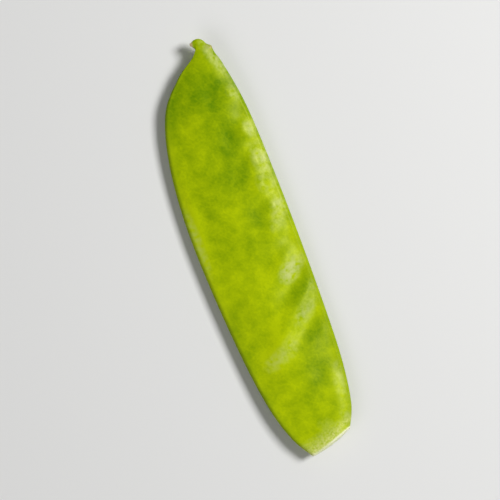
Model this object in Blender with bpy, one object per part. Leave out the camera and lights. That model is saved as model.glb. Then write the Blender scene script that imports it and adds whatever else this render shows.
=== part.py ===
"""Snow pea pod with its stem end cut off, lying on its flat side.

The pod grows as one piece, so it is one closed body: a loft of lens-shaped rings that run
across it from seam to seam, from the cut end to the hooked tip. At the cut end the loft
turns back inside, as the slit between the pod's two walls.

Metres, +Z up. +Y runs along the pod to its tip and +X to its seed seam. The origin is at
the middle of the bottom of the pod's bounding box, on the surface that it lies on.
"""

import math

import bmesh
import bpy
import numpy as np

MM = 0.001

# The two seams seen from above, in millimetres from the cut end to the tip. The back seam
# bulges. The peas hang from the seed seam, which is nearly straight.
BACK_SEAM = (
    (-5.1, 0.0),
    (-8.3, 5.0),
    (-11.2, 13.5),
    (-13.9, 30.5),
    (-15.9, 57.0),
    (-15.2, 71.5),
    (-12.7, 82.4),
    (-7.2, 89.6),
    (-2.4, 93.2),
    (-1.4, 94.6),
    (-2.0, 95.5),
)
SEED_SEAM = (
    (4.9, 3.5),
    (6.9, 8.6),
    (8.0, 18.0),
    (8.1, 32.0),
    (7.1, 61.0),
    (5.6, 80.0),
    (3.5, 90.3),
    (2.4, 94.0),
    (0.6, 96.4),
    (-0.8, 96.8),
    (-1.9, 96.3),
)
CURVE_STEPS = 24

# The section across the pod, in millimetres.
HALF_THICKNESS = 2.3
WIDEST = 22.9
THINNING = 0.6
SEED_SEAM_RADIUS = 0.95
BACK_SEAM_RADIUS = 0.7
FULLNESS = 2.2
SHOULDER = 1.1

# The peas inside, which are still small, and swell both walls a little.
PEAS = 8
FIRST_PEA = 14.0
LAST_PEA = 80.0
PEA_INSET = 5.2
PEA_SPREAD = 2.1
PEA_SWELL = 0.35

# How the pod lies: both ends lift, it twists a little, and its weight flattens its belly.
TIP_LIFT = 2.4
TIP_LIFT_FROM = 0.58
CUT_LIFT = 1.3
CUT_LIFT_TO = 0.34
TWIST = math.radians(4.0)
FLATTENED = 0.16

# The cut end: the knife leaned, so the lower wall stands out past the upper one. The slit's
# depth, and how far in the lean reaches, are shares of the pod's length.
CUT_LEAN = 0.42
LEAN_REACH = 0.09
WALL = 0.85
SEAM_WIDTH = 1.6
SLIT_DEPTH = 0.09
SLIT_END_GAP = 0.15
SLIT_INNER_END = 0.02

# The mesh.
RING_POINTS = 44
BODY_RINGS = 46
BODY_RINGS_END = 0.9
TIP_RINGS = 18
SLIT_RINGS = 7

POD_COLOUR = (0.30, 0.43, 0.012, 1.0)
POD_ROUGHNESS = 0.42


def clear_scene():
    for item in list(bpy.data.objects):
        bpy.data.objects.remove(item, do_unlink=True)


def smooth_curve(points):
    """Samples of the centripetal Catmull-Rom curve through the points, from end to end."""
    knots = np.array(points, float)
    knots = np.vstack((2 * knots[0] - knots[1], knots, 2 * knots[-1] - knots[-2]))
    samples = [knots[1]]
    for first in range(len(knots) - 3):
        a, b, c, d = knots[first : first + 4]
        ta = 0.0
        tb = ta + math.sqrt(np.linalg.norm(b - a))
        tc = tb + math.sqrt(np.linalg.norm(c - b))
        td = tc + math.sqrt(np.linalg.norm(d - c))
        for t in np.linspace(tb, tc, CURVE_STEPS + 1)[1:]:
            ab = (a * (tb - t) + b * (t - ta)) / (tb - ta)
            bc = (b * (tc - t) + c * (t - tb)) / (tc - tb)
            cd = (c * (td - t) + d * (t - tc)) / (td - tc)
            abc = (ab * (tc - t) + bc * (t - ta)) / (tc - ta)
            bcd = (bc * (td - t) + cd * (t - tb)) / (td - tb)
            samples.append((abc * (tc - t) + bcd * (t - tb)) / (tc - tb))
    return np.array(samples)


def seam_at(samples, share):
    """The seam's point at this share of its length."""
    lengths = np.linalg.norm(np.diff(samples, axis=0), axis=1)
    travelled = np.concatenate(([0.0], np.cumsum(lengths)))
    at = share * travelled[-1]
    return np.array([np.interp(at, travelled, samples[:, axis]) for axis in (0, 1)])


def smoothstep(low, high, value):
    t = np.clip((value - low) / (high - low), 0.0, 1.0)
    return t * t * (3.0 - 2.0 * t)


def rounded_edge(inset, radius):
    """Half the thickness at this distance in from a seam, whose edge is a half round."""
    depth = np.clip(radius - inset, 0.0, radius)
    return np.sqrt(radius**2 - depth**2)


def half_thickness(across, width):
    """Half the pod's thickness at across, from -1 at the back seam to 1 at the seed seam."""
    belly = HALF_THICKNESS * (width / WIDEST) ** THINNING
    to_seed_seam = smoothstep(-0.5, 0.5, across)
    radius = BACK_SEAM_RADIUS + (SEED_SEAM_RADIUS - BACK_SEAM_RADIUS) * to_seed_seam
    radius = np.minimum(radius, 0.8 * belly)
    inset = (1.0 - np.abs(across)) * width / 2
    dome = (1.0 - np.abs(across) ** FULLNESS) ** SHOULDER
    return rounded_edge(inset, radius) + (belly - radius) * dome


def pea_swelling(plan, seed):
    """How far the peas push each wall out at the plan points of the ring that ends at seed."""
    inset = np.linalg.norm(plan - seed, axis=1)
    swelling = np.zeros(len(plan))
    for along in np.linspace(FIRST_PEA, LAST_PEA, PEAS):
        away = np.hypot(plan[:, 1] - along, inset - PEA_INSET)
        swelling += PEA_SWELL * np.exp(-0.5 * (away / PEA_SPREAD) ** 2)
    return swelling


def lie(share):
    """The height of the pod's middle and its twist at this share of its length."""
    tip = max(0.0, share - TIP_LIFT_FROM) / (1.0 - TIP_LIFT_FROM)
    cut = max(0.0, CUT_LIFT_TO - share) / CUT_LIFT_TO
    return TIP_LIFT * tip**2 + CUT_LIFT * cut**2, TWIST * (share - 0.5)


def ring(seams, share, slit=0.0):
    """The points of the ring at this share of the pod's length, in millimetres.

    With slit from 1 at the mouth down towards 0, it is the slit's ring there instead.
    """
    back = seam_at(seams[0], share)
    seed = seam_at(seams[1], share)
    width = np.linalg.norm(seed - back)
    angle = np.arange(RING_POINTS) * 2 * math.pi / RING_POINTS
    across = np.cos(angle)
    if slit:
        across = across * (1.0 - 2 * SEAM_WIDTH / width)
        mouth = half_thickness(0.0, width) - WALL
        end = SLIT_END_GAP / 2
        plan = back + (seed - back) * ((1.0 + across) / 2)[:, None]
        height = np.sin(angle) * (end + (mouth - end) * slit)
    else:
        plan = back + (seed - back) * ((1.0 + across) / 2)[:, None]
        half = half_thickness(across, width) + pea_swelling(plan, seed)
        height = np.sign(np.sin(angle)) * half
    middle, roll = lie(share)
    lean = CUT_LEAN * (1.0 - smoothstep(0.0, LEAN_REACH, share))
    return np.column_stack(
        (
            plan[:, 0],
            plan[:, 1] + lean * height,
            middle + height + math.tan(roll) * across * width / 2,
        )
    )


def pod_rings():
    """All the pod's rings in order, from the slit's inner end out over the cut to the tip."""
    seams = (smooth_curve(BACK_SEAM), smooth_curve(SEED_SEAM))
    rings = [
        ring(seams, SLIT_DEPTH * (1.0 - slit), slit)
        for slit in np.linspace(SLIT_INNER_END, 1.0, SLIT_RINGS)
    ]
    body = np.linspace(0.0, BODY_RINGS_END, BODY_RINGS)
    tip = np.linspace(BODY_RINGS_END, 1.0, TIP_RINGS + 1)[1:]
    rings += [ring(seams, share) for share in np.concatenate((body, tip))]
    return np.array(rings)


def seat(points):
    """Flatten the belly on the surface, and move the origin below the box's middle."""
    floor = points[:, :, 2].min() + FLATTENED
    points[:, :, 2] = np.maximum(points[:, :, 2], floor)
    low = points.reshape(-1, 3).min(axis=0)
    high = points.reshape(-1, 3).max(axis=0)
    origin = np.array([(low[0] + high[0]) / 2, (low[1] + high[1]) / 2, low[2]])
    return points - origin


def loft_mesh(name, rings):
    """A closed mesh through the rings, capped at both ends."""
    mesh = bpy.data.meshes.new(name)
    loft = bmesh.new()
    rows = [[loft.verts.new(point * MM) for point in ring_points] for ring_points in rings]
    for row, following in zip(rows, rows[1:]):
        for index in range(RING_POINTS):
            beside = (index + 1) % RING_POINTS
            loft.faces.new((row[index], row[beside], following[beside], following[index]))
    loft.faces.new(rows[0])
    loft.faces.new(rows[-1])
    bmesh.ops.triangulate(loft, faces=loft.faces)
    bmesh.ops.recalc_face_normals(loft, faces=loft.faces)
    loft.to_mesh(mesh)
    loft.free()
    mesh.shade_smooth()
    mesh.set_sharp_from_angle(angle=math.radians(40))
    return mesh


def pod_material():
    material = bpy.data.materials.new("pod_skin")
    material.use_nodes = True
    shader = material.node_tree.nodes["Principled BSDF"]
    shader.inputs["Base Color"].default_value = POD_COLOUR
    shader.inputs["Roughness"].default_value = POD_ROUGHNESS
    shader.inputs["Metallic"].default_value = 0.0
    return material


def build_pod(collection):
    mesh = loft_mesh("pod", seat(pod_rings()))
    mesh.materials.append(pod_material())
    collection.objects.link(bpy.data.objects.new("pod", mesh))


def main():
    clear_scene()
    collection = bpy.data.collections.new("snow_pea_pod")
    bpy.context.scene.collection.children.link(collection)
    build_pod(collection)


main()
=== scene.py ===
"""Snow pea pod with its stem end cut off, lying on its flat side on a pale floor.

The pod is one skin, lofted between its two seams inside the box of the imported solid. It
carries the swellings of the peas, the dents and folds between them, the string and the fine
line along each seam, the cut end with its slit, and the hooked tip with its dried end.

A place on the pod is given by along, its share of the way from the cut end to the tip, and
by across, from -1 at the back seam to 1 at the seed seam. Lengths are in millimetres, but in
the settings, the patterns and the stage they are in metres.
"""

import math

import bpy
import numpy as np
from mathutils import Euler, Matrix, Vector, noise


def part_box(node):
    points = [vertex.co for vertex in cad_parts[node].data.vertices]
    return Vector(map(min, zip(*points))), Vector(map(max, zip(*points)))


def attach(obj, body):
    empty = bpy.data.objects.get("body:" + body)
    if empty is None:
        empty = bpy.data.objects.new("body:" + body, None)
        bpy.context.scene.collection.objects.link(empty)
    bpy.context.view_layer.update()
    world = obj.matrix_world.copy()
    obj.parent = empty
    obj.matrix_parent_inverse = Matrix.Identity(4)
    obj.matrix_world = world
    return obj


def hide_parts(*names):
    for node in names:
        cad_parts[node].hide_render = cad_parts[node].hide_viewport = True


bl_info = {
    "name": "Snow Pea Pod",
    "version": (1, 0, 0),
    "blender": (4, 5, 0),
    "location": "View3D > Sidebar > Snow Pea Pod",
    "description": "Builds the skin of a snow pea pod around its packed solid, and its stage",
    "category": "Add Mesh",
}

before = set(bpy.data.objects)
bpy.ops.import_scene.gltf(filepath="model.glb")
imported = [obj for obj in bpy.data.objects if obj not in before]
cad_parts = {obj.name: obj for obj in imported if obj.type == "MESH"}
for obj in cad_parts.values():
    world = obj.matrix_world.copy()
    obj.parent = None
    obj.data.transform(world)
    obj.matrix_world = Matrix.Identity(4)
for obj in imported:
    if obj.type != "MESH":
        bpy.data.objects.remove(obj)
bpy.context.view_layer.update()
POD_LOW, POD_HIGH = (np.array(corner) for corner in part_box("pod"))

MM = 0.001

# The two seams seen from above, as shares of the pod's box across and along.
BACK_SEAM = (
    (0.449, 0.002), (0.316, 0.053), (0.196, 0.141), (0.084, 0.316), (0.001, 0.589),
    (0.030, 0.739), (0.134, 0.851), (0.362, 0.926), (0.561, 0.963), (0.603, 0.977),
    (0.578, 0.987),
)
SEED_SEAM = (
    (0.864, 0.038), (0.947, 0.090), (0.993, 0.187), (0.997, 0.332), (0.955, 0.631),
    (0.893, 0.827), (0.806, 0.933), (0.760, 0.971), (0.686, 0.996), (0.627, 1.000),
    (0.582, 0.995),
)
CURVE_STEPS = 24

# How many millimetres the whole of along stands for.
LENGTH = 100.0

# The section across the pod. The thickness is stated for the WIDEST place, and goes with the
# width to the power THINNING. The slope down to the seed seam is steeper where the pod is
# narrow. A seam's radius is at most SEAM_SHARE of half the thickness.
WIDEST = 22.9
THINNING = 0.6
FACE_SAG = 0.25
BACK_SLOPE = math.tan(math.radians(9.0))
NARROW_STEEPENS = 0.6
SHOULDER_SOFTNESS = 0.09
SEAM_SHARE = 0.45

# How steep the slope down to the seed seam is along the pod, in degrees.
SEED_SLOPES = (
    (0.00, 12.0), (0.10, 14.5), (0.17, 8.0), (0.26, 7.5), (0.31, 10.0),
    (0.36, 8.0), (0.42, 11.5), (0.50, 11.5), (0.60, 14.5), (0.69, 14.5),
    (0.77, 13.0), (0.83, 14.0), (1.00, 14.5),
)

# The raised string along each seam and the groove inside it: how far in, spread, height.
SEED_STRING = (0.6, 0.45, 0.02)
SEED_GROOVE = (1.2, 0.8, -0.03)
BACK_STRING = (0.5, 0.34, 0.03)
BACK_GROOVE = (1.3, 0.4, -0.02)

# The fine line along each seam where the two walls meet: its spread, and how deep it lies.
SUTURE_SPREAD = 0.15
SUTURE_DEPTH = 0.14

# The widths of the pod between which its strings and fine lines fade in.
STRINGS_FADE = (3.0, 9.0)

# Where the seed seam is nicked: along, spread in millimetres, and how far it stands out.
SEED_NICKS = ((0.926, 0.8, -0.20), (0.945, 0.35, 0.22), (0.958, 0.5, -0.20))
NICK_REACH = 0.8

# How the pod lies: where its two ends begin to lift, and how the floor flattens its belly.
TIP_LIFT_FROM = 0.58
CUT_LIFT_TO = 0.34
FLATTENED = 0.16
SOFT_CONTACT = 0.12
CONTACT_ENDS = 6 * SOFT_CONTACT

# Soft swellings and dents of the upper wall: along, across, spread along, spread across, turn
# in degrees, which leans the end near the tip towards the seed seam, and height.
UPPER_SWELLINGS = (
    (0.095, 0.76, 4.0, 1.6, -8.0, 0.16),
    (0.243, 0.88, 1.1, 0.9, 0.0, 0.14),
    (0.258, -0.02, 4.2, 2.0, 38.0, 0.52),
    (0.215, 0.45, 3.2, 1.5, 50.0, 0.20),
    (0.322, 0.55, 3.4, 1.4, 48.0, 0.42),
    (0.347, 0.90, 1.0, 0.8, 0.0, 0.16),
    (0.424, 0.52, 2.6, 1.4, 45.0, 0.47),
    (0.500, 0.60, 1.9, 1.5, 25.0, 0.34),
    (0.550, 0.73, 1.7, 1.4, 15.0, 0.42),
    (0.605, 0.68, 1.5, 1.5, 0.0, 0.50),
    (0.660, 0.74, 1.6, 1.3, 0.0, 0.56),
    (0.735, 0.76, 1.3, 1.2, 0.0, 0.54),
    (0.828, 0.80, 1.5, 1.2, 0.0, 0.34),
    (0.570, -0.76, 5.5, 1.1, 0.0, 0.16),
    (0.240, -0.24, 6.5, 0.7, 8.0, 0.05),
)
UPPER_DENTS = (
    (0.155, 0.44, 1.4, 1.3, 0.0, -0.14),
    (0.274, 0.55, 4.2, 1.4, 50.0, -0.40),
    (0.378, 0.62, 4.0, 1.4, 48.0, -0.44),
    (0.545, 0.40, 1.6, 1.3, 0.0, -0.18),
    (0.590, -0.08, 1.8, 0.5, 72.0, -0.05),
    (0.605, 0.79, 0.8, 0.8, 0.0, -0.16),
    (0.645, 0.25, 1.6, 1.3, 0.0, -0.12),
    (0.725, 0.38, 1.9, 1.1, 0.0, -0.16),
    (0.833, 0.25, 1.7, 1.1, -15.0, -0.18),
    (0.768, 0.78, 1.1, 1.3, 0.0, -0.14),
    (0.698, 0.80, 0.9, 1.3, 0.0, -0.14),
    (0.632, 0.84, 0.7, 1.1, 0.0, -0.08),
    (0.578, 0.80, 0.9, 1.4, 10.0, -0.14),
    (0.525, 0.72, 0.8, 1.4, 25.0, -0.08),
    (0.462, 0.76, 1.5, 1.6, 20.0, -0.14),
)

# The wall that the pod lies on shows only the peas: each one's place along the pod, how it
# swells the wall, how it darkens the skin, partly with painted shade, and the pale bloom and
# painted highlight that are left beside it.
LOWER_PEAS = (0.14, 0.23, 0.32, 0.41, 0.50, 0.59, 0.68, 0.77, 0.85)
LOWER_SWELLING = (0.55, 2.1, 2.1, 0.0, 0.30)
LOWER_TONE_AND_PAINTED_SHADE = (0.42, 2.4, 1.7, 0.0, 0.16)
LOWER_PAINTED_HIGHLIGHT_AND_BLOOM = (0.78, 1.7, 1.2, 0.0, 0.60)

# How uneven the walls are: wavelength of each layer of waves, and its height on the face and
# on the slope down to the seed seam. WALLS_APART keeps the two walls' waves from being alike.
UNEVENNESS = ((11.0, 0.14, 0.12), (4.2, 0.05, 0.07), (1.6, 0.010, 0.013))
SLOPE_BEGINS = (0.45, 0.7)
WALLS_APART = 4.0

# Spots and waves fade in between these distances from the seams.
RELIEF_FADE = (0.3, 3.0)

# The noise's own grid lies askew to the pod, so that it doesn't show. NOISE_STEP sets the
# layers of noise apart.
NOISE_TURN = np.array(Euler((0.5, 0.3, 0.65)).to_matrix())
NOISE_STEP = (37.1, 11.3, 23.7)

# The cut end: the knife leaned, so the lower wall stands out past the upper one. LEAN_REACH
# and SLIT_DEPTH are shares of the pod's length.
CUT_LEAN = 0.30
LEAN_REACH = 0.09
WALL = 0.85
SEAM_WIDTH = 1.6
SLIT_OPEN = 0.35
SLIT_DEPTH = 0.09
SLIT_INNER_END = 0.02
SLIT_END_GAP = 0.15

# The cut's rim is rounded by RIM_RADIUS, which takes at most RIM_MOST of half the thickness.
RIM_RADIUS = 0.28
RIM_MOST = 0.7

# The cut bulges and is ragged, as far along the pod as KNIFE_REACH.
CUT_BULGE = 0.35
RAGGED = 0.07
RAGGED_STRETCH = 5.0
RAGGED_WAVELENGTH = 0.9
RAGGED_LAYER = 9
KNIFE_REACH = 0.03

# How many rings each stretch has, where the tip's closer rings begin, and how a ring's points
# crowd on the walls.
SLIT_RINGS = 16
RIM_RINGS = 9
ROUND_RINGS = 8
TIP_RINGS = 90
DOME_RINGS = 8
TIP_FROM = 0.93
RING_CROWDING = 0.45

# The UV map's margins: beside the rings, past the end rings, and past the end points.
UV_SIDE = 0.005
UV_END = 0.01
UV_POINT = 0.002

# How light the skin is along the pod, from the cut end to the tip: share, lightness.
TONE = (
    (0.00, 0.64), (0.06, 0.60), (0.14, 0.56), (0.24, 0.68), (0.36, 0.68),
    (0.46, 0.62), (0.52, 0.54), (0.58, 0.54), (0.66, 0.47), (0.76, 0.48),
    (0.84, 0.33), (0.90, 0.35), (0.94, 0.53), (0.97, 0.66), (1.00, 0.46),
)

# Painted shade and light, with some of the skin's own darker tone over the peas: along, across,
# spread along, spread across, turn, depth. First come the painted oval shadows over the peas and
# in the folds, from the cut end to the tip.
TONE_AND_PAINTED_SHADING = (
    (0.157, 0.34, 2.2, 1.9, 0.0, 0.40),
    (0.190, 0.72, 4.0, 2.0, 0.0, 0.10),
    (0.222, 0.54, 3.2, 2.4, 20.0, 0.22),
    (0.242, 0.58, 3.6, 1.3, 50.0, 0.34),
    (0.340, 0.29, 2.6, 1.7, 0.0, 0.18),
    (0.346, 0.70, 3.4, 1.6, 48.0, 0.54),
    (0.437, 0.60, 2.0, 1.7, 0.0, 0.18),
    (0.494, 0.80, 2.0, 1.5, 0.0, 0.20),
    (0.487, 0.12, 3.0, 1.2, 60.0, 0.10),
    (0.542, 0.40, 2.0, 2.2, 0.0, 0.40),
    (0.590, -0.08, 2.0, 0.5, 72.0, 0.12),
    (0.628, -0.32, 2.0, 1.8, 0.0, 0.12),
    (0.650, 0.34, 2.0, 1.9, 0.0, 0.24),
    (0.700, 0.70, 1.4, 1.2, 0.0, 0.14),
    (0.720, 0.32, 2.4, 1.7, 0.0, 0.44),
    (0.780, 0.77, 1.7, 1.7, 0.0, 0.24),
    (0.816, 0.30, 2.6, 1.8, -5.0, 0.42),
    (0.848, 0.74, 2.0, 1.6, 0.0, 0.32),
    # Painted shade along the back seam.
    (0.290, -0.92, 3.0, 1.2, 0.0, 0.14),
    (0.390, -0.78, 2.6, 1.6, 0.0, 0.26),
    (0.825, -0.94, 3.2, 1.1, 0.0, 0.28),
    # Painted light and lighter skin, first over the pod's middle.
    (0.030, -0.25, 2.0, 2.0, 0.0, -0.16),
    (0.095, -0.65, 4.5, 2.2, 0.0, -0.28),
    (0.180, -0.10, 2.2, 1.8, 0.0, -0.18),
    (0.230, -0.45, 2.6, 1.6, 60.0, -0.22),
    (0.240, -0.24, 6.0, 0.9, 8.0, -0.10),
    (0.270, 0.00, 5.0, 4.5, 0.0, -0.08),
    (0.400, -0.10, 5.0, 4.0, 0.0, -0.14),
    (0.550, -0.22, 4.0, 3.0, 0.0, -0.14),
    (0.670, 0.02, 2.4, 2.2, 0.0, -0.14),
    (0.790, -0.62, 6.0, 2.6, -8.0, -0.20),
    (0.885, 0.32, 1.8, 1.8, 0.0, -0.12),
    # Painted light between the peas' painted shadows.
    (0.125, 0.60, 1.8, 1.4, 0.0, -0.18),
    (0.402, 0.64, 1.6, 1.4, 48.0, -0.20),
    (0.505, 0.52, 2.4, 1.8, 0.0, -0.36),
    (0.600, 0.56, 1.8, 1.4, 0.0, -0.18),
    (0.683, 0.60, 1.5, 1.3, 0.0, -0.20),
    (0.808, 0.54, 1.7, 1.5, 0.0, -0.24),
    # Painted light beside the seed seam.
    (0.145, 0.88, 2.0, 1.2, 0.0, -0.14),
    (0.300, 0.88, 2.4, 0.9, 0.0, -0.16),
    (0.448, 0.91, 2.4, 1.2, 0.0, -0.18),
    (0.535, 0.76, 1.6, 1.3, 0.0, -0.16),
    (0.668, 0.90, 1.8, 1.3, 0.0, -0.12),
    (0.732, 0.80, 1.6, 1.5, 0.0, -0.20),
    (0.885, 0.88, 2.0, 1.5, 0.0, -0.30),
    # Painted light beside the back seam, where the fill lamp catches it.
    (0.540, -0.87, 10.0, 1.3, 0.0, -0.52),
    (0.580, -0.74, 14.0, 2.4, 0.0, -0.12),
)

# Where pale bloom and painted highlights lie on the skin, where it faces the lamps: along,
# across, spreads, turn, strength. The setting below is taken off everywhere, so that the spots'
# faint edges drop out.
PAINTED_HIGHLIGHTS_AND_BLOOM = (
    (0.905, 0.88, 3.0, 0.9, -24.0, 0.95),
    (0.945, 0.74, 2.4, 1.0, -22.0, 0.20),
    (0.825, 0.84, 1.5, 1.1, 0.0, 0.50),
    (0.735, 0.87, 1.2, 1.0, 0.0, 1.10),
    (0.664, 0.86, 2.0, 1.3, 0.0, 1.10),
    (0.605, 0.79, 1.7, 1.6, 0.0, 0.65),
    (0.605, 0.79, 0.8, 0.8, 0.0, -0.70),
    (0.545, 0.83, 1.6, 1.1, 10.0, 0.75),
    (0.510, 0.66, 2.0, 1.2, 30.0, 0.30),
    (0.397, 0.57, 1.5, 1.0, 48.0, 2.40),
    (0.408, 0.76, 1.8, 1.0, 50.0, 0.65),
    (0.345, 0.91, 1.2, 0.6, 0.0, 0.40),
    (0.299, 0.60, 2.2, 1.1, 50.0, 0.75),
    (0.242, 0.02, 2.6, 1.5, 40.0, 0.34),
    (0.228, -0.42, 2.2, 1.3, 60.0, 0.36),
    (0.143, 0.84, 2.0, 1.0, -5.0, 0.35),
    (0.090, 0.82, 3.0, 1.3, -8.0, 0.30),
    (0.035, 0.80, 1.5, 0.9, -20.0, 0.35),
    (0.045, 0.05, 1.6, 1.8, 0.0, 0.25),
    (0.540, -0.89, 6.0, 0.8, -3.0, 0.44),
)
PAINTED_HIGHLIGHT_THRESHOLD = 0.12

# Where the upper wall's spots end below the seams: the sine of the angle round the ring.
UPPER_ENDS = -0.35

# Painted light on the slope down to the seed seam, the side that faces the key lamp: by how
# much, where it is across and along the pod, and how far in from the seam.
SLOPE_PAINTED_LIGHT = 0.09
SLOPE_ACROSS = (0.50, 0.78)
SLOPE_ALONG = ((0.38, 0.0), (0.56, 1.0), (0.86, 1.0), (0.95, 0.0))
SLOPE_EDGE = 1.0

# Painted shade on the skin's outermost edge at the back seam, which turns away from the key lamp:
# by how much, and its spread.
BACK_EDGE_PAINTED_SHADE = 0.2
BACK_EDGE_SPREAD = 0.5

# The strings' tint: how far in from the seam, and its spread. The seed seam's is fainter in
# the half of the pod towards the tip.
SEED_TINT = (0.1, 0.7)
SEED_TINT_ALONG = ((0.44, 0.85), (0.56, 0.10))
BACK_TINT = (0.1, 0.75)

# The skin that the knife bruised beside the cut, paler partly by a painted glint, and the torn
# streak in it, also partly a painted glint: its strength, its spread, and how far from the cut it
# lies at places across.
BRUISE_AND_GLINT_REACH = 4.0
TORN_GLINT_STREAK = 0.35
STREAK_SPREAD = 0.5
STREAK_FROM_CUT = ((-0.4, 0.7), (0.9, 2.1))

# Skin left whole, without the bruise or its painted glint, between the cut and the streak: how
# much, from where across, and how far from the cut it lies with its spread.
WHOLE_SKIN = 0.6
WHOLE_ACROSS = (0.3, 0.8)
WHOLE_FROM_CUT = (1.0, 0.4)

# The pale rim of the cut, pale flesh with a painted glint that grows towards the seed seam, on
# the key lamp's side: how far along the skin it reaches, and its paleness across.
RIM_REACH = 0.006
RIM_PALE_AND_PAINTED_GLINT = ((-0.5, 0.55), (0.4, 1.0))

# What has browned: the lower lip of the cut, the nick in the seed seam, with its place and
# spreads, and the end of the tip.
LIP_BROWN = (0.001, 0.006)
LIP_RINGS = 2
NICK_ALONG = (0.945, 0.006)
NICK_INWARDS = 0.6
NICK_BROWN = 1.2
DRIED_FROM = 0.992

# Patterns of the skin and the flesh, with their Scale in spots to a metre. The mottled ones
# are MOTTLE_MIDDLE on average.
MOTTLE_MIDDLE = 0.5
MOTTLE_ROUGHNESS = 0.42
CLOUDS = {"Scale": 150.0, "Detail": 1.0, "Contrast": 0.55}
PATCHES = {"Scale": 360.0, "Detail": 1.0, "Contrast": 0.8}
GRAIN = {"Scale": 1800.0, "Detail": 2.0, "Contrast": 0.5}
BLOTCHES = {"Scale": 900.0, "Detail": 2.0, "Contrast": 3.0}
SPECKLE = {"Scale": 2200.0, "Detail": 2.0, "Contrast": 2.0}
FIBRES = {"Scale": 2600.0, "Detail": 2.0, "Contrast": 1.6}
VEINS = {"Spacing": 0.0022, "Stretch": 2.2, "Width": 0.10}

# The veins lean across the pod, and noise bends them by up to VEIN_BEND.
VEIN_TURN = math.radians(-42.0)
VEIN_BENDS = {"Scale": 140.0, "Detail": 2.0}
VEIN_BEND = (0.003, 0.003, 0.003)

# How the patterns and masks tint the skin, roughen it and lift its grain.
VEINS_LIGHTER = 0.08
STRING_TINT = 0.6
SUTURE_TINT = 0.5
SPECKLE_LIFT = 0.05
TORN_AND_GLINT_TINT = 0.8
TORN_AND_GLINT_FLESH = 0.2
BROWN_SPECKLE = 1.5
BROWN_LIFT = -0.3
PATCH_ROUGHNESS = 0.12
STRING_ROUGHNESS = 0.3
COAT = 0.03
PAINTED_HIGHLIGHT_COAT = 0.06
GRAIN_STRENGTH = 0.5
GRAIN_HEIGHT = 0.0001

# How the fibres make the flesh paler and rougher.
FLESH_SHARE = 0.35
FIBRE_SHARE = 0.5
FLESH_ROUGHNESS = 0.3
FIBRE_ROUGHNESS = 0.2

SKIN_FINISH = {
    "Specular IOR Level": 0.30,
    "Specular Tint": (1.0, 0.92, 0.1, 1.0),
    "Coat Roughness": 0.24,
    "Subsurface Weight": 0.12,
    "Subsurface Radius": (1.0, 1.0, 0.3),
    "Subsurface Scale": 0.001,
}
FLESH_FINISH = {
    "Subsurface Weight": 0.5,
    "Subsurface Radius": (1.0, 1.0, 0.5),
    "Subsurface Scale": 0.0015,
}
FLOOR_FINISH = {"Roughness": 0.9, "Specular IOR Level": 0.1}

# A Mix node's sockets for colours: the share and the two colours, and the result.
MIX_INPUTS = (0, 6, 7)
MIX_RESULT = 2

# The stage. A lamp's bearing is turned from the camera's right towards its top, in degrees,
# as its elevation is.
FLOOR_SIZE = 6.0
FLOOR_DROP = 0.0001
KEY_LAMP = {"size": (0.20, 0.22), "distance": 0.7, "bearing": 22.0, "elevation": 52.0}
FILL_LAMP = {"size": (0.8, 0.5), "distance": 0.9, "bearing": 235.0, "elevation": 46.0}
CLIP_START = 0.01


def colour(value):
    """A colour setting with full opacity, as a shader takes it."""
    return (*value, 1.0)


def at_lower_peas(spot):
    """A list with the same spot at every pea of the lower wall."""
    return [(along, *spot) for along in LOWER_PEAS]


def smooth_curve(points):
    """Samples of the centripetal Catmull-Rom curve through the points, from end to end."""
    knots = np.array(points, float)
    knots = np.vstack((2 * knots[0] - knots[1], knots, 2 * knots[-1] - knots[-2]))
    samples = [knots[1]]
    for first in range(len(knots) - 3):
        a, b, c, d = knots[first : first + 4]
        ta = 0.0
        tb = ta + math.sqrt(np.linalg.norm(b - a))
        tc = tb + math.sqrt(np.linalg.norm(c - b))
        td = tc + math.sqrt(np.linalg.norm(d - c))
        for t in np.linspace(tb, tc, CURVE_STEPS + 1)[1:]:
            ab = (a * (tb - t) + b * (t - ta)) / (tb - ta)
            bc = (b * (tc - t) + c * (t - tb)) / (tc - tb)
            cd = (c * (td - t) + d * (t - tc)) / (td - tc)
            abc = (ab * (tc - t) + bc * (t - ta)) / (tc - ta)
            bcd = (bc * (td - t) + cd * (t - tb)) / (td - tb)
            samples.append((abc * (tc - t) + bcd * (t - tb)) / (tc - tb))
    return np.array(samples)


class Seam:
    """A seam's curve seen from above, from the cut end to the tip."""

    def __init__(self, shares_of_box):
        size = (POD_HIGH - POD_LOW)[:2] / MM
        self.samples = POD_LOW[:2] / MM + smooth_curve(shares_of_box) * size
        lengths = np.linalg.norm(np.diff(self.samples, axis=0), axis=1)
        self.travelled = np.concatenate(([0.0], np.cumsum(lengths)))

    def at(self, along):
        """The seam's plan points at these shares of its length."""
        way = along * self.travelled[-1]
        return np.column_stack(
            [np.interp(way, self.travelled, self.samples[:, axis]) for axis in (0, 1)]
        )


def smoothstep(low, high, value):
    t = np.clip((value - low) / (high - low), 0.0, 1.0)
    return t * t * (3.0 - 2.0 * t)


def eased(table, place):
    """Values of a table of places and values, with an eased passage between its rows."""
    places, values = np.array(table).T
    row = np.clip(np.searchsorted(places, place, side="right") - 1, 0, len(places) - 2)
    passage = smoothstep(places[row], places[row + 1], place)
    return values[row] + (values[row + 1] - values[row]) * passage


def hump(value, middle, spread):
    """A bell curve that is 1 at the middle."""
    return np.exp(-0.5 * ((value - middle) / spread) ** 2)


def between(back, seed, across):
    """Plan points across the rings that end at these points of the two seams."""
    return back[:, None] + (seed - back)[:, None] * ((1.0 + across) / 2)[..., None]


def insets(across, wide):
    """How far in from the seed seam and from the back seam the places lie."""
    return (1.0 - across) * wide / 2, (1.0 + across) * wide / 2


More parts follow.
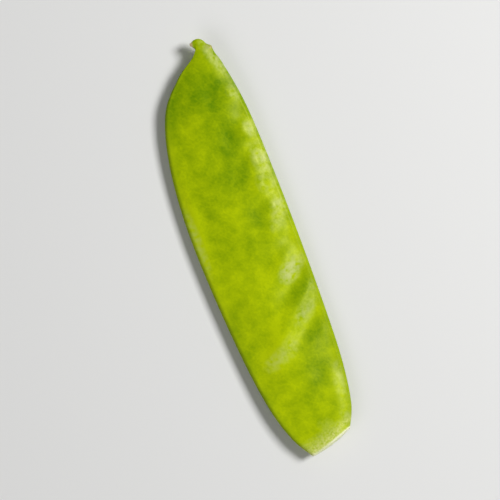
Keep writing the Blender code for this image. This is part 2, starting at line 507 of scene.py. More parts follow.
def seam_slope(inset, radius, slope, belly):
    """Height of the half-round seam and of the slope that starts on it, at this inset."""
    radius = np.minimum(radius, SEAM_SHARE * belly)
    edge = np.sqrt(radius**2 - np.clip(radius - inset, 0.0, radius) ** 2)
    return edge + slope * inset


def rounded_rim(distance):
    """How much a wall thins where its edge is rounded, at this distance from the cut."""
    short = np.clip(1.0 - distance / RIM_RADIUS, 0.0, 1.0)
    return RIM_RADIUS * (1.0 - np.sqrt(1.0 - short**2))


def softest(heights, softness):
    """The lowest of the stacked heights, with the corners between them rounded."""
    lowest = heights.min(axis=0)
    return lowest - softness * np.log(np.exp((lowest - heights) / softness).sum(axis=0))


def wander(points, wavelength, layer):
    """Smooth noise from about -1 to 1 at each point, a row of x, y, z in millimetres."""
    shift = Vector([layer * step for step in NOISE_STEP])
    flat = points.reshape(-1, 3) @ NOISE_TURN / wavelength
    values = [noise.noise(Vector(point) + shift) for point in flat]
    return np.array(values).reshape(points.shape[:-1])


class PodShape(bpy.types.PropertyGroup):
    """Sizes of the pod's skin."""

    half_thickness: bpy.props.FloatProperty(
        name="Half Thickness", description="Half the pod's thickness where it is widest",
        default=0.0023, min=0.0005, max=0.006, unit="LENGTH",
    )
    fullest: bpy.props.FloatProperty(
        name="Fullest",
        description="Where across the pod its walls stand highest, towards the seed seam",
        default=0.05, min=-0.8, max=0.8,
    )
    seed_seam_radius: bpy.props.FloatProperty(
        name="Seed Seam Radius", description="Radius of the rounded edge at the seed seam",
        default=0.00095, min=0.0002, max=0.002, unit="LENGTH",
    )
    back_seam_radius: bpy.props.FloatProperty(
        name="Back Seam Radius", description="Radius of the rounded edge at the back seam",
        default=0.001, min=0.0002, max=0.002, unit="LENGTH",
    )
    pea_swell: bpy.props.FloatProperty(
        name="Swelling", description="Scale of the swellings and dents of the walls",
        default=1.0, min=0.0, max=3.0,
    )
    tip_lift: bpy.props.FloatProperty(
        name="Tip Lift", description="How far the tip lifts off the surface",
        default=0.0024, min=0.0, max=0.01, unit="LENGTH",
    )
    cut_lift: bpy.props.FloatProperty(
        name="Cut Lift", description="How far the cut end lifts off the surface",
        default=0.0013, min=0.0, max=0.01, unit="LENGTH",
    )
    twist: bpy.props.FloatProperty(
        name="Twist", description="How far the pod turns about its length from end to end",
        default=math.radians(4.0), subtype="ANGLE",
    )
    rings: bpy.props.IntProperty(
        name="Rings", description="Rings of the body's mesh",
        default=440, min=TIP_RINGS + ROUND_RINGS + 2, max=900,
    )
    ring_points: bpy.props.IntProperty(
        name="Ring Points", description="Points round a ring",
        default=200, min=24, max=400,
    )


class PodSkin(bpy.types.PropertyGroup):
    """Colours and finish of the pod's skin."""

    bright_green: bpy.props.FloatVectorProperty(
        name="Bright Green", description="Colour of the pod's lighter skin",
        default=(0.45, 0.57, 0.0010), subtype="COLOR", min=0.0, max=1.0,
    )
    # Deep green is also the colour that the painted shade of the patches mixes towards.
    deep_green: bpy.props.FloatVectorProperty(
        name="Deep Green", description="Colour of the darker skin near the tip and over the peas",
        default=(0.12, 0.25, 0.0004), subtype="COLOR", min=0.0, max=1.0,
    )
    seam_green: bpy.props.FloatVectorProperty(
        name="Seam Green", description="Colour of the seam strings",
        default=(0.24, 0.34, 0.004), subtype="COLOR", min=0.0, max=1.0,
    )
    # The pale wax colour is also the colour of the painted highlights.
    bloom_and_painted_highlight: bpy.props.FloatVectorProperty(
        name="Bloom", description="Colour of the pale wax that lies on the skin in places",
        default=(0.60, 0.64, 0.31), subtype="COLOR", min=0.0, max=1.0,
    )
    flesh: bpy.props.FloatVectorProperty(
        name="Flesh", description="Colour of the cut rim",
        default=(0.95, 0.97, 0.66), subtype="COLOR", min=0.0, max=1.0,
    )
    # The bruised skin's colour also carries the painted glint beside the cut.
    torn_and_glint: bpy.props.FloatVectorProperty(
        name="Torn Skin", description="Colour of the skin that the knife bruised beside the cut",
        default=(0.62, 0.66, 0.11), subtype="COLOR", min=0.0, max=1.0,
    )
    dried: bpy.props.FloatVectorProperty(
        name="Dried Style", description="Colour of the dried end of the tip",
        default=(0.50, 0.36, 0.20), subtype="COLOR", min=0.0, max=1.0,
    )
    roughness: bpy.props.FloatProperty(
        name="Roughness", description="Roughness of the waxy skin",
        default=0.44, min=0.0, max=1.0, subtype="FACTOR",
    )


class StageSettings(bpy.types.PropertyGroup):
    """Camera and lights."""

    camera_turn: bpy.props.FloatProperty(
        name="Camera Turn", description="Turn of the camera about the vertical",
        default=math.radians(-18.4), subtype="ANGLE",
    )
    camera_height: bpy.props.FloatProperty(
        name="Camera Height", description="Height of the camera above the floor",
        default=0.42, unit="LENGTH",
    )
    lens: bpy.props.FloatProperty(
        name="Lens", description="Focal length of the camera",
        default=134.0, unit="CAMERA",
    )
    key_power: bpy.props.FloatProperty(
        name="Key Power", description="Power of the key light",
        default=4.5, unit="POWER",
    )
    fill_power: bpy.props.FloatProperty(
        name="Fill Power", description="Power of the fill light",
        default=1.8, unit="POWER",
    )
    ambient: bpy.props.FloatProperty(
        name="Ambient", description="Strength of the even light around",
        default=0.11,
    )
    floor_colour: bpy.props.FloatVectorProperty(
        name="Floor Colour", description="Colour of the floor",
        default=(0.78, 0.78, 0.77), subtype="COLOR", min=0.0, max=1.0,
    )


def ring_angles(count):
    """Angles round a ring from the seed seam over the top, closest on the flat walls."""
    turn = np.arange(count) / count
    return 2 * math.pi * turn + RING_CROWDING * np.sin(4 * math.pi * turn) / 2


class PodLoft:
    """The pod's rings, from the slit's inner end out over the cut to the tip."""

    def __init__(self, shape):
        self.belly = shape.half_thickness / MM
        self.fullest = shape.fullest
        self.seed_radius = shape.seed_seam_radius / MM
        self.back_radius = shape.back_seam_radius / MM
        self.swelling = shape.pea_swell
        self.tip_lift = shape.tip_lift / MM
        self.cut_lift = shape.cut_lift / MM
        self.twist = shape.twist
        self.back_seam = Seam(BACK_SEAM)
        self.seed_seam = Seam(SEED_SEAM)
        self.angle = ring_angles(shape.ring_points)
        # Rounded, so that a point on a seam is on neither wall.
        self.side = np.sign(np.round(np.sin(self.angle), 9))

    def ribbon(self, along):
        """The back seam's and the seed seam's points, and the width, at these shares."""
        back = self.back_seam.at(along)
        seed = self.seed_seam.at(along)
        return back, seed, np.linalg.norm(seed - back, axis=1)[:, None]

    def half_thickness(self, along, across, wide):
        """Half the thickness: a face nearly flat, and a slope down to each round seam."""
        belly = self.belly * (wide / WIDEST) ** THINNING
        middle = (across - self.fullest) * wide / WIDEST
        face = belly - FACE_SAG * middle**2
        steeper = 1.0 + NARROW_STEEPENS * (1.0 - wide / WIDEST)
        seed_slope = np.tan(np.radians(eased(SEED_SLOPES, along)))[:, None] * steeper
        seed_inset, back_inset = insets(across, wide)
        seed = seam_slope(seed_inset, self.seed_radius, seed_slope, belly)
        back = seam_slope(back_inset, self.back_radius, BACK_SLOPE, belly)
        return softest(np.stack((face, seed, back)), SHOULDER_SOFTNESS * belly)

    def strings(self, across, wide):
        """The seams' raised strings and the grooves inside them."""
        seed_inset, back_inset = insets(across, wide)
        relief = np.zeros_like(across)
        for (middle, spread, height), inset in (
            (SEED_STRING, seed_inset),
            (SEED_GROOVE, seed_inset),
            (BACK_STRING, back_inset),
            (BACK_GROOVE, back_inset),
        ):
            relief += height * hump(inset, middle, spread)
        return relief * smoothstep(*STRINGS_FADE, wide)

    def sutures(self, across, wide):
        """The fine lines where the two walls meet: 1 on the seed seam, -1 on the back seam."""
        seed_height = np.sqrt(self.seed_radius * (1.0 - across) * wide)
        back_height = np.sqrt(self.back_radius * (1.0 + across) * wide)
        lines = hump(seed_height, 0.0, SUTURE_SPREAD) - hump(back_height, 0.0, SUTURE_SPREAD)
        return lines * smoothstep(*STRINGS_FADE, wide)

    def nicks(self, along, across, wide):
        """How far the worn spots of the seed seam stand out beside its smooth line."""
        line = sum(
            height * hump(along * LENGTH, place * LENGTH, spread)
            for place, spread, height in SEED_NICKS
        )
        seed_inset, _ = insets(across, wide)
        return line[:, None] * hump(seed_inset, 0.0, NICK_REACH)

    def spots(self, features, plan):
        """The sum of a list of spots at the plan points."""
        relief = np.zeros(plan.shape[:-1])
        for along, across, spread_along, spread_across, turn, height in features:
            back, seed, _ = self.ribbon(np.array([along]))
            middle = back[0] + (seed[0] - back[0]) * (1.0 + across) / 2
            away = plan - middle
            angle = math.radians(turn)
            long_way = np.array([math.sin(angle), math.cos(angle)])
            wide_way = np.array([math.cos(angle), -math.sin(angle)])
            relief += (
                height
                * hump(away @ long_way, 0.0, spread_along)
                * hump(away @ wide_way, 0.0, spread_across)
            )
        return relief

    def waves(self, plan, across):
        """The unevenness of the walls."""
        places = np.dstack((plan, WALLS_APART * self.side * np.ones_like(across)))
        slope = smoothstep(*SLOPE_BEGINS, across)
        return sum(
            (height + (at_slope - height) * slope) * wander(places, wavelength, layer)
            for layer, (wavelength, height, at_slope) in enumerate(UNEVENNESS)
        )

    def skin_height(self, plan, along, across, wide):
        """How far the skin stands above or below the pod's middle."""
        upper = self.spots(UPPER_SWELLINGS, plan) + self.spots(UPPER_DENTS, plan)
        lower = self.spots(at_lower_peas(LOWER_SWELLING), plan)
        relief = np.where(self.side > 0, upper, lower) + self.waves(plan, across)
        inset = (1.0 - np.abs(across)) * wide / 2
        half = self.half_thickness(along, across, wide) + self.strings(across, wide)
        half += self.swelling * relief * smoothstep(*RELIEF_FADE, inset)
        half -= np.minimum(rounded_rim(along * LENGTH)[:, None], RIM_MOST * half)
        return self.side * half

    def slit_height(self, along, wide, slit):
        """How far the slit's walls stand above or below the pod's middle."""
        mouth = SLIT_OPEN * (self.half_thickness(along, np.zeros_like(wide), wide) - WALL)
        end = SLIT_END_GAP / 2
        return np.sin(self.angle) * (end + (mouth - end) * slit[:, None])

    def rings(self, along, slit=None):
        """The rings' points at these shares of the pod's length, and how far across each is.

        With slit, a number for each ring that is 1 at its mouth, they are the slit's rings.
        """
        back, seed, wide = self.ribbon(along)
        to_seed = (seed - back) / wide
        to_cut = np.stack((to_seed[:, 1], -to_seed[:, 0]), axis=-1)
        across = np.tile(np.cos(self.angle), (len(along), 1))
        if slit is None:
            plan = between(back, seed, across)
            height = self.skin_height(plan, along, across, wide)
            aside = self.nicks(along, across, wide) - SUTURE_DEPTH * self.sutures(across, wide)
            plan = plan + aside[..., None] * to_seed[:, None]
        else:
            across = across * (1.0 - 2 * SEAM_WIDTH / wide)
            plan = between(back, seed, across)
            height = self.slit_height(along, wide, slit)
        plan = plan + self.knife_marks(along, across, height)[..., None] * to_cut[:, None]
        lean = CUT_LEAN * (1.0 - smoothstep(0.0, LEAN_REACH, along))[:, None]
        middle = self.lift(along) + np.tan(self.roll(along)) * across * wide / 2
        points = np.dstack((plan[..., 0], plan[..., 1] + lean * height, middle + height))
        return points, across

    def knife_marks(self, along, across, height):
        """How far the cut end stands out past a straight cut, bulging and a little ragged."""
        near = (1.0 - smoothstep(0.0, KNIFE_REACH, along))[:, None]
        places = np.dstack((across * RAGGED_STRETCH, height, np.zeros_like(across)))
        ragged = RAGGED * wander(places, RAGGED_WAVELENGTH, RAGGED_LAYER)
        return near * (CUT_BULGE * (1.0 - across**2) + ragged)

    def lift(self, along):
        """How far the pod's middle is lifted."""
        tip = np.clip(along - TIP_LIFT_FROM, 0.0, 1.0) / (1.0 - TIP_LIFT_FROM)
        cut = np.clip(CUT_LIFT_TO - along, 0.0, 1.0) / CUT_LIFT_TO
        return (self.tip_lift * tip**2 + self.cut_lift * cut**2)[:, None]

    def roll(self, along):
        """How far the pod is twisted, in radians."""
        return (self.twist * (along - 0.5))[:, None]


def seated(points):
    """The points with the belly softly flattened on the floor."""
    floor = points[:, 2].min() + FLATTENED
    rise = points[:, 2] - floor
    soft = SOFT_CONTACT * np.logaddexp(0.0, rise / SOFT_CONTACT)
    height = np.where(rise < CONTACT_ENDS, soft, rise)
    return np.column_stack((points[:, :2], height - height.min()))


def rim_rings(inner, outer):
    """Rings over the cut face between the slit's mouth and the skin, with rounded edges."""
    shares = (1.0 - np.cos(np.linspace(0.0, math.pi, RIM_RINGS + 2)))[1:-1] / 2
    return np.array([inner + (outer - inner) * share for share in shares])


def dome_rings(last):
    """Rings that close the tip with a round end past its last ring, and the end's point."""
    chord = last[0] - last[len(last) // 2]
    outward = np.array([-chord[1], chord[0], 0.0])
    outward /= np.linalg.norm(outward)
    middle = last.mean(axis=0)
    nose = outward * np.linalg.norm(last - middle, axis=1).mean()
    angles = np.linspace(0.0, math.pi / 2, DOME_RINGS + 1)[1:-1]
    rings = [(last - middle) * math.cos(angle) + nose * math.sin(angle) for angle in angles]
    return middle + np.array(rings), middle + nose


def body_shares(rings):
    """Shares for the body's rings, closer together at the rounded rim and the hooked tip."""
    rim = RIM_RADIUS / LENGTH * (1.0 - np.cos(np.linspace(0.0, math.pi / 2, ROUND_RINGS)))
    body = np.linspace(rim[-1], TIP_FROM, rings - TIP_RINGS - ROUND_RINGS)
    return np.concatenate((rim, body[1:], np.linspace(TIP_FROM, 1.0, TIP_RINGS)[1:]))


def pod_points(loft, rings):
    """All the pod's points, ring by ring, and where they lie.

    The two end points come last. Along is given for each ring, and across for each point of a
    ring. The last number says how many of the first rings are of flesh.
    """
    slit = np.linspace(SLIT_INNER_END, 1.0, SLIT_RINGS)
    slit_along = SLIT_DEPTH * (1.0 - slit)
    slit_rings, slit_across = loft.rings(slit_along, slit)
    skin_along = body_shares(rings)
    skin, skin_across = loft.rings(skin_along)
    rim = rim_rings(slit_rings[-1], skin[0])
    dome, nose = dome_rings(skin[-1])
    rows = np.concatenate((slit_rings, rim, skin, dome))
    points = np.concatenate((rows.reshape(-1, 3), [slit_rings[0].mean(axis=0), nose]))
    along = np.concatenate((slit_along, np.zeros(len(rim)), skin_along, np.ones(len(dome))))
    rim_across = np.tile(skin_across[0], (len(rim), 1))
    dome_across = np.tile(skin_across[-1], (len(dome), 1))
    across = np.concatenate((slit_across, rim_across, skin_across, dome_across))
    return seated(points), along, across, len(slit_rings) + len(rim)


def faces_of(rows, ring_points):
    """Quads between neighbouring rings, and a fan of triangles at each end."""
    index = np.arange(rows * ring_points).reshape(rows, ring_points)
    beside = np.roll(index, -1, axis=1)
    quads = np.stack((index[:-1], beside[:-1], beside[1:], index[1:]), axis=-1).reshape(-1, 4)
    inner_end = rows * ring_points
    nose = inner_end + 1
    first = [(inner_end, int(b), int(a)) for a, b in zip(index[0], beside[0])]
    last = [(nose, int(a), int(b)) for a, b in zip(index[-1], beside[-1])]
    return quads.tolist(), first, last


def lay_out(mesh, rows, ring_points, travelled):
    """A UV map with the rings unrolled side by side, for painting or baking the skin."""
    layer = mesh.uv_layers.new(name="OFBake")
    v_of_row = UV_END + (1.0 - 2 * UV_END) * travelled / travelled[-1]
    uv = np.empty((len(mesh.loops), 2), np.float32)
    quad = np.arange((rows - 1) * ring_points)
    row = quad // ring_points
    column = quad % ring_points
    step = (1.0 - 2 * UV_SIDE) / ring_points
    for corner, (right, up) in enumerate(((0, 0), (1, 0), (1, 1), (0, 1))):
        uv[quad * 4 + corner, 0] = UV_SIDE + (column + right) * step
        uv[quad * 4 + corner, 1] = v_of_row[row + up]
    start = len(quad) * 4
    column = np.arange(ring_points)
    for v_ring, v_point, shifts in (
        (v_of_row[0], UV_POINT, (0.5, 1, 0)),
        (v_of_row[-1], 1.0 - UV_POINT, (0.5, 0, 1)),
    ):
        for corner, (right, v) in enumerate(zip(shifts, (v_point, v_ring, v_ring))):
            loops = start + column * 3 + corner
            uv[loops, 0] = UV_SIDE + (column + right) * step
            uv[loops, 1] = v
        start += ring_points * 3
    layer.data.foreach_set("uv", uv.ravel())


def cut_masks(loft, along, across, seed_inset, flesh_rows):
    """The masks of what the knife left, with the painted glints on the cut's rim and beside it,
    and of what has browned since.
    """
    from_cut = along * LENGTH
    cut = np.clip(1.0 - from_cut / BRUISE_AND_GLINT_REACH, 0.0, 1.0)
    cut += TORN_GLINT_STREAK * hump(from_cut, eased(STREAK_FROM_CUT, across), STREAK_SPREAD)
    cut -= WHOLE_SKIN * hump(from_cut, *WHOLE_FROM_CUT) * smoothstep(*WHOLE_ACROSS, across)
    cut[:flesh_rows] = 1.0
    # The rim is paler towards the seed seam: a painted glint where the moist edge faces the key
    # lamp.
    rim = eased(RIM_PALE_AND_PAINTED_GLINT, across) * (1.0 - smoothstep(0.0, RIM_REACH, along))
    rim_row = flesh_rows - RIM_RINGS
    rim[:rim_row] = 0.0
    rim[rim_row:flesh_rows] *= np.linspace(0.0, 1.0, RIM_RINGS)[:, None] ** 2
    scar = np.where(loft.side < 0, 1.0 - smoothstep(*LIP_BROWN, along), 0.0)
    scar[: flesh_rows - LIP_RINGS] = 0.0
    scar += NICK_BROWN * hump(along, *NICK_ALONG) * hump(seed_inset, 0.0, NICK_INWARDS)
    return {"cut": cut, "rim": rim, "scar": scar, "tip": smoothstep(DRIED_FROM, 1.0, along)}


def skin_masks(loft, row_along, across, flesh_rows):
    """For each point of the rings, the masks that the materials read."""
    back, seed, wide = loft.ribbon(row_along)
    plan = between(back, seed, across)
    along = row_along[:, None] * np.ones_like(across)
    seed_inset, back_inset = insets(across, wide)
    upper = smoothstep(UPPER_ENDS, 0.0, np.sin(loft.angle))

    def on_both_walls(upper_spots, lower_spot):
        below = loft.spots(at_lower_peas(lower_spot), plan)
        return below + (loft.spots(upper_spots, plan) - below) * upper

    # The tone below takes in painted shade and light: the patches, the shaded back edge and the
    # lit slope.
    slope = smoothstep(*SLOPE_ACROSS, across) * smoothstep(0.0, SLOPE_EDGE, seed_inset)
    tone_and_painted_light = eased(TONE, along) - on_both_walls(TONE_AND_PAINTED_SHADING, LOWER_TONE_AND_PAINTED_SHADE)
    tone_and_painted_light -= BACK_EDGE_PAINTED_SHADE * hump(back_inset, 0.0, BACK_EDGE_SPREAD)
    tone_and_painted_light += SLOPE_PAINTED_LIGHT * slope * eased(SLOPE_ALONG, along)
    seed_string = hump(seed_inset, *SEED_TINT) * eased(SEED_TINT_ALONG, along)
    suture = np.abs(loft.sutures(across, wide))
    suture[:flesh_rows] = 0.0
    return {
        "tone_and_painted_light": tone_and_painted_light,
        "seam": np.maximum(seed_string, hump(back_inset, *BACK_TINT)),
        "suture": suture,
        "bloom_and_painted_highlight": np.maximum(on_both_walls(PAINTED_HIGHLIGHTS_AND_BLOOM, LOWER_PAINTED_HIGHLIGHT_AND_BLOOM) - PAINTED_HIGHLIGHT_THRESHOLD, 0.0),
        **cut_masks(loft, along, across, seed_inset, flesh_rows),
    }


def add_object(name, data):
    """A new object in the scene."""
    item = bpy.data.objects.new(name, data)
    bpy.context.scene.collection.objects.link(item)
    return item


def make_pod_object(shape):
    """The pod's skin as an object, with its UV map, its masks and its material numbers."""
    loft = PodLoft(shape)
    points, along, across, flesh_rows = pod_points(loft, shape.rings)
    rows, count = across.shape
    quads, first, last = faces_of(rows, count)
    mesh = bpy.data.meshes.new("pod_skin")
    mesh.from_pydata((points * MM).tolist(), [], quads + first + last)
    mesh.validate()
    steps = np.diff(points[:-2].reshape(rows, count, 3), axis=0)
    travelled = np.cumsum(np.linalg.norm(steps, axis=2).mean(axis=1))
    lay_out(mesh, rows, count, np.concatenate(([0.0], travelled)))
    for name, values in skin_masks(loft, along, across, flesh_rows).items():
        ends = [values[0].mean(), values[-1].mean()]
        layer = mesh.attributes.new(name, "FLOAT", "POINT")
        layer.data.foreach_set("value", np.concatenate((values.ravel(), ends)).astype(np.float32))
    # The flesh is the second material: the slit, the cut face and the slit's inner end.
    material_index = np.zeros(len(mesh.polygons), np.int32)
    material_index[: flesh_rows * count] = 1
    material_index[len(quads) : len(quads) + count] = 1
    mesh.polygons.foreach_set("material_index", material_index)
    mesh.shade_smooth()
    return add_object("pod_skin", mesh)


def feed(tree, socket, value):
    """Set a node's input to a number or colour, or link another node's output to it."""
    if isinstance(value, bpy.types.NodeSocket):
        tree.links.new(value, socket)
    else:
        socket.default_value = value


def add_node(tree, kind, **inputs):
    """A shader node with values or links for its inputs, whose names have _ for spaces."""
    node = tree.nodes.new(kind)
    for name, value in inputs.items():
        feed(tree, node.inputs[name.replace("_", " ")], value)
    return node


def math_node(tree, operation, *values, of="ShaderNodeMath"):
    """The result of a calculation with the values or links."""
    node = tree.nodes.new(of)
    node.operation = operation
    for socket, value in zip(node.inputs, values):
        feed(tree, socket, value)
    return node.outputs[0]


def clamped(tree, operation, *values):
    """The result of a calculation, held between 0 and 1."""
    result = math_node(tree, operation, *values)
    result.node.use_clamp = True
    return result


def mix_colours(tree, share, first, second):
    """The first colour with this share of the second one in it."""
    node = tree.nodes.new("ShaderNodeMix")
    node.data_type = "RGBA"
    for index, value in zip(MIX_INPUTS, (share, first, second)):
        feed(tree, node.inputs[index], value)
    return node.outputs[MIX_RESULT]


def mask(tree, name):
    """A mask that the mesh carries."""
    node = tree.nodes.new("ShaderNodeAttribute")
    node.attribute_name = name
    return node.outputs["Fac"]


def new_group(name, inputs):
    """A node group with a vector and these numbers as inputs, and a value as its output."""
    group = bpy.data.node_groups.new(name, "ShaderNodeTree")
    group.interface.new_socket("Vector", in_out="INPUT", socket_type="NodeSocketVector")
    for label, default in inputs.items():
        socket = group.interface.new_socket(label, in_out="INPUT", socket_type="NodeSocketFloat")
        socket.default_value = default
    group.interface.new_socket("Value", in_out="OUTPUT", socket_type="NodeSocketFloat")
    result = group.nodes.new("NodeGroupOutput")
    return group, group.nodes.new("NodeGroupInput").outputs, result.inputs["Value"]


def use_group(tree, group, vector, values):
    """The group's value at the vector, with these values for its other inputs."""
    node = tree.nodes.new("ShaderNodeGroup")
    node.node_tree = group
    for name, value in {"Vector": vector, **values}.items():
        feed(tree, node.inputs[name], value)
    return node.outputs["Value"]


def mottle_group():
    """Soft blotches of a given size: MOTTLE_MIDDLE on average, more or less by Contrast."""
    group, given, result = new_group("Mottle", PATCHES)
    cloud = add_node(group, "ShaderNodeTexNoise", Roughness=MOTTLE_ROUGHNESS)
    for name in ("Vector", "Scale", "Detail"):
        feed(group, cloud.inputs[name], given[name])
    centred = math_node(group, "SUBTRACT", cloud.outputs["Fac"], MOTTLE_MIDDLE)
    scaled = math_node(group, "MULTIPLY_ADD", centred, given["Contrast"], MOTTLE_MIDDLE)
    feed(group, result, scaled)
    return group


def vein_group():
    """A net of fine lines that lean across the pod: 1 on a line, 0 between them."""
    group, given, result = new_group("Vein Net", VEINS)
    turned = add_node(group, "ShaderNodeVectorRotate", Vector=given["Vector"], Angle=VEIN_TURN)
    turned.rotation_type = "Z_AXIS"
    bend = add_node(group, "ShaderNodeTexNoise", Vector=given["Vector"], **VEIN_BENDS)
    bend = bend.outputs["Color"]
    vectors = "ShaderNodeVectorMath"
    bent = math_node(group, "MULTIPLY_ADD", bend, VEIN_BEND, turned.outputs["Vector"], of=vectors)
    spacing = given["Spacing"]
    long_side = math_node(group, "MULTIPLY", spacing, given["Stretch"])
    cell = add_node(group, "ShaderNodeCombineXYZ", X=spacing, Y=long_side, Z=spacing)
    place = math_node(group, "DIVIDE", bent, cell.outputs["Vector"], of=vectors)
    net = add_node(group, "ShaderNodeTexVoronoi", Vector=place, Scale=1.0)
    net.feature = "DISTANCE_TO_EDGE"
    line = add_node(group, "ShaderNodeMapRange", From_Max=given["Width"], To_Min=1.0, To_Max=0.0)
    line.interpolation_type = "SMOOTHSTEP"
    feed(group, line.inputs["Value"], net.outputs["Distance"])
    feed(group, result, line.outputs["Result"])
    return group


def new_material(name, finish):
    """A material with these values on its shader, with its node tree and its shader's inputs."""
    material = bpy.data.materials.new(name)
    material.use_nodes = True
    tree = material.node_tree
    shader = tree.nodes["Principled BSDF"]
    for label, value in finish.items():
        shader.inputs[label].default_value = value
    return material, tree, shader.inputs


def skin_material(skin, mottle, veins):
    """Waxy green skin, mottled and veined, with painted shade and light, pale bloom and painted
    highlights, green strings and a bruised end with a painted glint.
    """
    material, tree, shader = new_material("waxy_skin", SKIN_FINISH)
    place = tree.nodes.new("ShaderNodeTexCoord").outputs["Object"]
    clouds = use_group(tree, mottle, place, CLOUDS)
    patches = use_group(tree, mottle, place, PATCHES)
    grain = use_group(tree, mottle, place, GRAIN)
    vein = use_group(tree, veins, place, VEINS)
    # The tone carries painted shade and light as well as the skin's own lightness.
    tone_and_painted_light = math_node(tree, "ADD", mask(tree, "tone_and_painted_light"), -3 * MOTTLE_MIDDLE)
    for layer in (clouds, patches, grain):
        tone_and_painted_light = math_node(tree, "ADD", tone_and_painted_light, layer)
    tone_and_painted_light = clamped(tree, "MULTIPLY_ADD", vein, VEINS_LIGHTER, tone_and_painted_light)
    base = mix_colours(tree, tone_and_painted_light, colour(skin.deep_green), colour(skin.bright_green))

    # The more bloom and painted highlight there is, the less each further layer of it adds.
    blotches = use_group(tree, mottle, place, BLOTCHES)
    # Pale bloom and painted highlights, broken up by blotches.
    bloom_and_painted_highlight = math_node(tree, "MULTIPLY", mask(tree, "bloom_and_painted_highlight"), blotches)
    bloom_and_painted_highlight = math_node(tree, "MAXIMUM", bloom_and_painted_highlight, 0.0)
    bloom_and_painted_highlight = math_node(tree, "DIVIDE", bloom_and_painted_highlight, math_node(tree, "ADD", bloom_and_painted_highlight, 1.0))
    base = mix_colours(tree, bloom_and_painted_highlight, base, colour(skin.bloom_and_painted_highlight))

    string = mask(tree, "seam")
    seam = math_node(tree, "MULTIPLY", string, STRING_TINT)
    seam = clamped(tree, "MULTIPLY_ADD", mask(tree, "suture"), SUTURE_TINT, seam)
    base = mix_colours(tree, seam, base, colour(skin.seam_green))

    speckle = use_group(tree, mottle, place, SPECKLE)
    # Bruised skin beside the cut, paler partly by a painted glint.
    torn_and_glint = clamped(tree, "ADD", speckle, SPECKLE_LIFT)
    torn_and_glint = math_node(tree, "MULTIPLY", mask(tree, "cut"), torn_and_glint)
    bruise_and_glint = math_node(tree, "MULTIPLY", torn_and_glint, TORN_AND_GLINT_TINT)
    base = mix_colours(tree, bruise_and_glint, base, colour(skin.torn_and_glint))
    # The rim takes the pale flesh colour with its painted glint; the skin beside the cut takes a
    # little of it too.
    edge = clamped(tree, "MULTIPLY_ADD", torn_and_glint, TORN_AND_GLINT_FLESH, mask(tree, "rim"))
    base = mix_colours(tree, edge, base, colour(skin.flesh))
    scar = clamped(tree, "MULTIPLY_ADD", speckle, BROWN_SPECKLE, BROWN_LIFT)
    scar = math_node(tree, "MULTIPLY", mask(tree, "scar"), scar)
    dried = math_node(tree, "MAXIMUM", mask(tree, "tip"), scar)
    base = mix_colours(tree, dried, base, colour(skin.dried))
    feed(tree, shader["Base Color"], base)

    smoothest = skin.roughness - PATCH_ROUGHNESS * MOTTLE_MIDDLE
    rough = math_node(tree, "MULTIPLY_ADD", patches, PATCH_ROUGHNESS, smoothest)
    rough = clamped(tree, "MULTIPLY_ADD", string, STRING_ROUGHNESS, rough)
    feed(tree, shader["Roughness"], rough)
    # The coat is thicker where the bloom and painted highlights lie.
    coat = math_node(tree, "MULTIPLY_ADD", bloom_and_painted_highlight, PAINTED_HIGHLIGHT_COAT, COAT)
    feed(tree, shader["Coat Weight"], clamped(tree, "MULTIPLY_ADD", string, -COAT, coat))
    bump = add_node(
        tree, "ShaderNodeBump", Strength=GRAIN_STRENGTH, Distance=GRAIN_HEIGHT, Height=grain
    )
    feed(tree, shader["Normal"], bump.outputs["Normal"])
    return material


def flesh_material(skin, mottle):
    """The pale, moist flesh of the walls, greener inside and browned at the lower lip."""
    material, tree, shader = new_material("cut_flesh", FLESH_FINISH)
    place = tree.nodes.new("ShaderNodeTexCoord").outputs["Object"]
    fibres = use_group(tree, mottle, place, FIBRES)
    share = math_node(tree, "MULTIPLY_ADD", fibres, FIBRE_SHARE, FLESH_SHARE)
    # The rim mask makes the flesh paler, with its painted glint.
    share = clamped(tree, "ADD", share, mask(tree, "rim"))
    base = mix_colours(tree, share, colour(skin.bright_green), colour(skin.flesh))
    base = mix_colours(tree, mask(tree, "scar"), base, colour(skin.dried))
    feed(tree, shader["Base Color"], base)
    rough = math_node(tree, "MULTIPLY_ADD", fibres, FIBRE_ROUGHNESS, FLESH_ROUGHNESS)
    feed(tree, shader["Roughness"], rough)
    return material


class OBJECT_OT_snow_pea_skin(bpy.types.Operator):
    """Build the pod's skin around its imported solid"""

    bl_idname = "object.snow_pea_skin"
    bl_label = "Pod Skin"

    def execute(self, context):
        scene = context.scene
        pod = make_pod_object(scene.pod_shape)
        mottle = mottle_group()
        pod.data.materials.append(skin_material(scene.pod_skin, mottle, vein_group()))
        pod.data.materials.append(flesh_material(scene.pod_skin, mottle))
        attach(pod, "root")
        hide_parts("pod")
        return {"FINISHED"}


def make_floor(floor_colour):
    """A wide plain floor, just below the pod."""
    bpy.ops.mesh.primitive_plane_add(size=FLOOR_SIZE, location=(0.0, 0.0, -FLOOR_DROP))
    floor = bpy.context.object
    floor.name = "floor"
    material, _, shader = new_material("pale_floor", FLOOR_FINISH)
    shader["Base Color"].default_value = colour(floor_colour)
    floor.data.materials.append(material)


def aim_lamp(name, power, turn, size, distance, bearing, elevation):
    """Add a lamp of this width and height that looks at the pod from its bearing."""
    data = bpy.data.lights.new(name, "AREA")
    data.energy = power
    data.shape = "RECTANGLE"
    data.size, data.size_y = size
    heading = math.radians(bearing) + turn
    height = math.radians(elevation)
    level = math.cos(height)
    away = Vector((math.cos(heading) * level, math.sin(heading) * level, math.sin(height)))
    lamp = add_object(name, data)
    lamp.location = away * distance
    lamp.rotation_euler = away.to_track_quat("Z", "Y").to_euler()


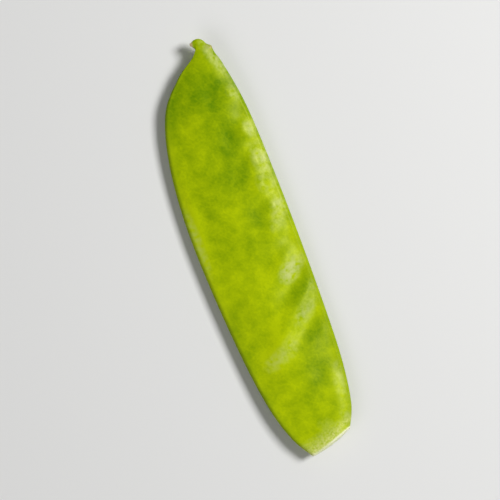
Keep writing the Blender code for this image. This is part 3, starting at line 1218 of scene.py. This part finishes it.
def make_room(strength):
    """Even white light from all around."""
    world = bpy.data.worlds.new("soft_room")
    world.use_nodes = True
    background = world.node_tree.nodes["Background"].inputs
    background["Color"].default_value = (1.0, 1.0, 1.0, 1.0)
    background["Strength"].default_value = strength
    return world


def make_camera(lens, height, turn):
    """The camera, which looks straight down at the pod."""
    data = bpy.data.cameras.new("camera")
    data.lens = lens
    data.clip_start = CLIP_START
    camera = add_object("camera", data)
    camera.location = (0.0, 0.0, height)
    camera.rotation_euler = (0.0, 0.0, turn)
    return camera


class OBJECT_OT_snow_pea_stage(bpy.types.Operator):
    """Add the floor, the lights and the camera"""

    bl_idname = "object.snow_pea_stage"
    bl_label = "Stage"

    def execute(self, context):
        scene = context.scene
        stage = scene.pod_stage
        turn = stage.camera_turn
        make_floor(stage.floor_colour)
        aim_lamp("key", stage.key_power, turn, **KEY_LAMP)
        aim_lamp("fill", stage.fill_power, turn, **FILL_LAMP)
        scene.world = make_room(stage.ambient)
        scene.camera = make_camera(stage.lens, stage.camera_height, turn)
        scene.view_settings.view_transform = "Standard"
        return {"FINISHED"}


class VIEW3D_PT_snow_pea_pod(bpy.types.Panel):
    """The pod's pieces and settings"""

    bl_label = "Snow Pea Pod"
    bl_space_type = "VIEW_3D"
    bl_region_type = "UI"
    bl_category = "Snow Pea Pod"

    def draw(self, context):
        layout = self.layout
        scene = context.scene
        for settings in (scene.pod_shape, scene.pod_skin, scene.pod_stage):
            box = layout.box()
            for name in settings.bl_rna.properties.keys():
                if name not in ("rna_type", "name"):
                    box.prop(settings, name)
        layout.operator(OBJECT_OT_snow_pea_skin.bl_idname)
        layout.operator(OBJECT_OT_snow_pea_stage.bl_idname)


CLASSES = (
    PodShape,
    PodSkin,
    StageSettings,
    OBJECT_OT_snow_pea_skin,
    OBJECT_OT_snow_pea_stage,
    VIEW3D_PT_snow_pea_pod,
)


def register():
    for item in CLASSES:
        bpy.utils.register_class(item)
    bpy.types.Scene.pod_shape = bpy.props.PointerProperty(type=PodShape)
    bpy.types.Scene.pod_skin = bpy.props.PointerProperty(type=PodSkin)
    bpy.types.Scene.pod_stage = bpy.props.PointerProperty(type=StageSettings)


def unregister():
    del bpy.types.Scene.pod_stage
    del bpy.types.Scene.pod_skin
    del bpy.types.Scene.pod_shape
    for item in reversed(CLASSES):
        bpy.utils.unregister_class(item)


def main():
    register()
    bpy.ops.object.snow_pea_skin()
    bpy.ops.object.snow_pea_stage()


if __name__ == "__main__":
    main()
